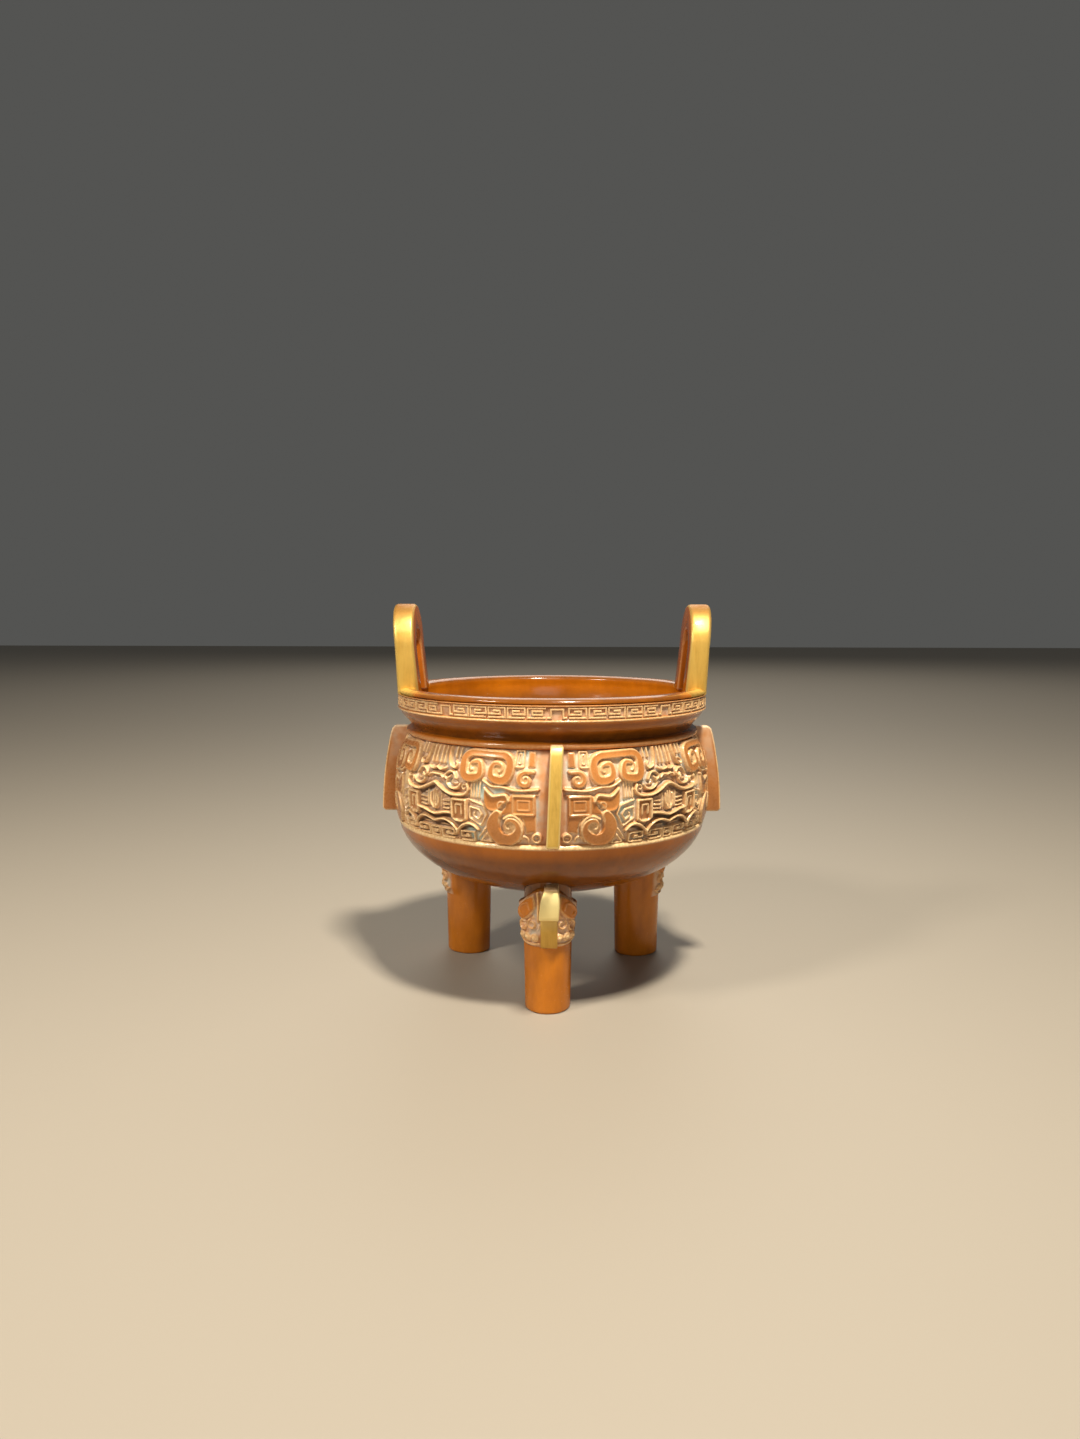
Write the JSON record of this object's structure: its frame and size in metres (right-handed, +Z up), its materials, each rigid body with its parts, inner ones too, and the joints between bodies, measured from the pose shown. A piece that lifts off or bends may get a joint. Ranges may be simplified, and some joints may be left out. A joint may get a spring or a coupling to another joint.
{
  "type": "porcelain tripod ding",
  "caption": "Round moulded porcelain censer in ancient bronze style, open bowl on column legs with beast masks, loop handles, flanges and a band of relief",
  "frame": {"origin": "on the ground, under the middle of the bowl", "axes": "+Z up, the gilt front flange and the front leg towards -Y, the loop handles on +X and -X"},
  "size_m": [0.1688, 0.1688, 0.1835],
  "materials": {
    "ceramic": "brown glaze with gilt handles and flanges, paler on the relief"
  },
  "bodies": {
    "root": {"ding": "ceramic"}
  },
  "joints": []
}
